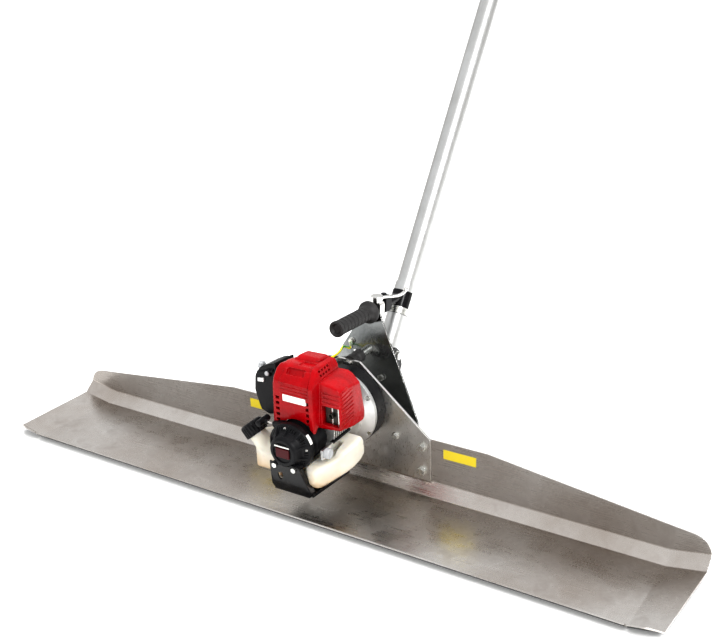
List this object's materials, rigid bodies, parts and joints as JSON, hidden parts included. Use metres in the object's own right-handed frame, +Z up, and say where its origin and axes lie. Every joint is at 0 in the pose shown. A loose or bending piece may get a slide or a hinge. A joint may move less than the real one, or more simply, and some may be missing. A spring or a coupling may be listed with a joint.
{
  "type": "power screed",
  "caption": "Petrol screed: long bent metal blade with an upturned lip, an engine driven exciter plate on its wall, and a rubber mounted handle with an inclined guide pole.",
  "frame": {"origin": "centre of the flat sole of the blade, on its underside", "axes": "+X along the blade, +Y from the front lip back towards the pole, +Z up"},
  "size_m": [1.5, 0.9945, 1.1829],
  "materials": {
    "blade_steel": "satin, dulled by concrete",
    "plate_steel": "satin with bright cut edges",
    "handle_steel": "polished, dark reflections",
    "zinc_steel": "zinc plated",
    "inner_steel": "machined",
    "chrome_steel": "plated",
    "cast_aluminium": "cast, bead blasted",
    "pole_aluminium": "drawn, satin",
    "black_paint": "gloss",
    "black_cast": "semi-gloss",
    "dark_metal": "heat darkened",
    "red_plastic": "gloss",
    "badge_plastic": "satin",
    "black_plastic": "fine grain",
    "grey_plastic": "satin",
    "tank_plastic": "translucent, holds fuel",
    "black_rubber": "matte",
    "clear_rubber": "translucent",
    "foam": "open cell foam",
    "wire_cover": "yellow with a green stripe",
    "label_film": "film",
    "rope_fibre": "braided"
  },
  "bodies": {
    "frame": {"blade": "blade_steel", "labels": "label_film", "engine_plate": "plate_steel", "plate_bolts": "zinc_steel", "isolators": "black_rubber", "handle_plate": "handle_steel", "top_spacer": "zinc_steel", "exciter_housing": "black_cast", "exciter_cover": "cast_aluminium", "engine_screws": "zinc_steel", "bearings": "inner_steel", "clutch_housing": "cast_aluminium", "crankcase": "cast_aluminium", "cylinder": "cast_aluminium", "valve_cover": "cast_aluminium", "spark_plug": "inner_steel", "plug_cap": "black_rubber", "ignition_coil": "black_plastic", "recoil_housing": "black_plastic", "starter_badge": "badge_plastic", "recoil_spring": "inner_steel", "top_cover": "red_plastic", "muffler": "dark_metal", "air_box": "black_plastic", "air_filter": "foam", "carburettor": "cast_aluminium", "fuel_tank": "tank_plastic", "fuel_hoses": "clear_rubber", "stand": "black_paint", "handle_tube": "black_paint", "handle_grip": "black_rubber", "lever_clamp": "chrome_steel", "throttle_cable": "black_rubber", "stop_switch": "black_plastic", "earth_wire": "wire_cover", "pole_bracket": "black_paint", "handle_bolts": "zinc_steel", "pole_socket": "pole_aluminium", "hose_clamp": "zinc_steel"},
    "crank": {"crankshaft": "inner_steel", "flywheel": "cast_aluminium", "clutch_shoes": "inner_steel"},
    "exciter": {"eccentric_shaft": "inner_steel", "clutch_drum": "inner_steel"},
    "piston": {"piston": "cast_aluminium"},
    "rope_pulley": {"starter_pulley": "grey_plastic"},
    "pull_grip": {"starter_handle": "black_plastic", "starter_rope": "rope_fibre"},
    "hand_lever": {"throttle_lever": "chrome_steel"},
    "valve_lever": {"throttle_valve": "inner_steel"},
    "choke": {"choke_lever": "grey_plastic"},
    "primer": {"primer_bulb": "clear_rubber"},
    "cap_seal": {"cap_gasket": "black_rubber"},
    "tank_cap": {"fuel_cap": "black_plastic"},
    "oil_plug": {"oil_cap": "grey_plastic"},
    "filter_cover": {"air_cover": "black_plastic"},
    "cover_knob": {"air_knob": "grey_plastic"},
    "stop_push": {"stop_button": "black_plastic"},
    "pole": {"pole_tube": "pole_aluminium", "pole_cap": "black_plastic"}
  },
  "joints": [
    {"name": "crank_spin", "type": "hinge", "parent": "frame", "child": "crank", "pos_m": [0, 0.11816, 0.16975], "axis": [0, 0.9962, 0.0872], "continuous": true},
    {"name": "exciter_spin", "type": "hinge", "parent": "frame", "child": "exciter", "pos_m": [0, 0.11816, 0.16975], "axis": [0, 0.9962, 0.0872], "continuous": true},
    {"name": "piston_stroke", "type": "slide", "parent": "frame", "child": "piston", "axis": [0, -0.0872, 0.9962], "range_m": [-0.015, 0.015]},
    {"name": "starter_pull", "type": "slide", "parent": "frame", "child": "pull_grip", "axis": [-1, 0, 0], "range_m": [0, 0.45], "stiffness_N_per_m": 8, "springref_m": -0.05},
    {"name": "pulley_spin", "type": "hinge", "parent": "frame", "child": "rope_pulley", "pos_m": [0, 0.11816, 0.16975], "axis": [0, -0.9962, -0.0872], "range_deg": [0, 930]},
    {"name": "throttle", "type": "hinge", "parent": "frame", "child": "hand_lever", "pos_m": [0, 0.215, 0.362], "axis": [0, 0, 1], "range_deg": [-50, 0]},
    {"name": "throttle_valve_turn", "type": "hinge", "parent": "frame", "child": "valve_lever", "pos_m": [-0.052, -0.02291, 0.24474], "axis": [0, -0.0872, 0.9962], "range_deg": [0, 50]},
    {"name": "choke_turn", "type": "hinge", "parent": "frame", "child": "choke", "pos_m": [-0.058, 0.00237, 0.22085], "axis": [0, -0.9962, -0.0872], "range_deg": [0, 60]},
    {"name": "primer_push", "type": "slide", "parent": "frame", "child": "primer", "axis": [0, -0.0872, 0.9962], "range_m": [0, 0.004], "stiffness_N_per_m": 400},
    {"name": "tank_cap_lift", "type": "slide", "parent": "frame", "child": "cap_seal", "axis": [-0.6428, -0.0668, 0.7631], "range_m": [0, 0.05]},
    {"name": "tank_cap_turn", "type": "hinge", "parent": "cap_seal", "child": "tank_cap", "pos_m": [-0.102, -0.06205, 0.12989], "axis": [-0.6428, -0.0668, 0.7631], "range_deg": [0, 360]},
    {"name": "oil_plug_out", "type": "slide", "parent": "frame", "child": "oil_plug", "axis": [1, 0, 0], "range_m": [0, 0.03]},
    {"name": "filter_cover_off", "type": "slide", "parent": "frame", "child": "filter_cover", "axis": [-1, 0, 0], "range_m": [0, 0.06]},
    {"name": "cover_knob_turn", "type": "hinge", "parent": "filter_cover", "child": "cover_knob", "pos_m": [-0.128, -0.01633, 0.26138], "axis": [-1, 0, 0], "range_deg": [0, 720]},
    {"name": "stop_press", "type": "slide", "parent": "frame", "child": "stop_push", "axis": [0, 0, -1], "range_m": [0, 0.003], "stiffness_N_per_m": 600, "springref_m": -0.001},
    {"name": "pole_slide", "type": "slide", "parent": "frame", "child": "pole", "axis": [0, 0.5284, 0.849], "range_m": [0, 0.1]}
  ],
  "couplings": [
    {"joint": "exciter_spin", "follows": "crank_spin", "ratio": 1},
    {"joint": "pulley_spin", "follows": "starter_pull", "rad_per_m": 35.97},
    {"joint": "throttle_valve_turn", "follows": "throttle", "ratio": -1}
  ]
}
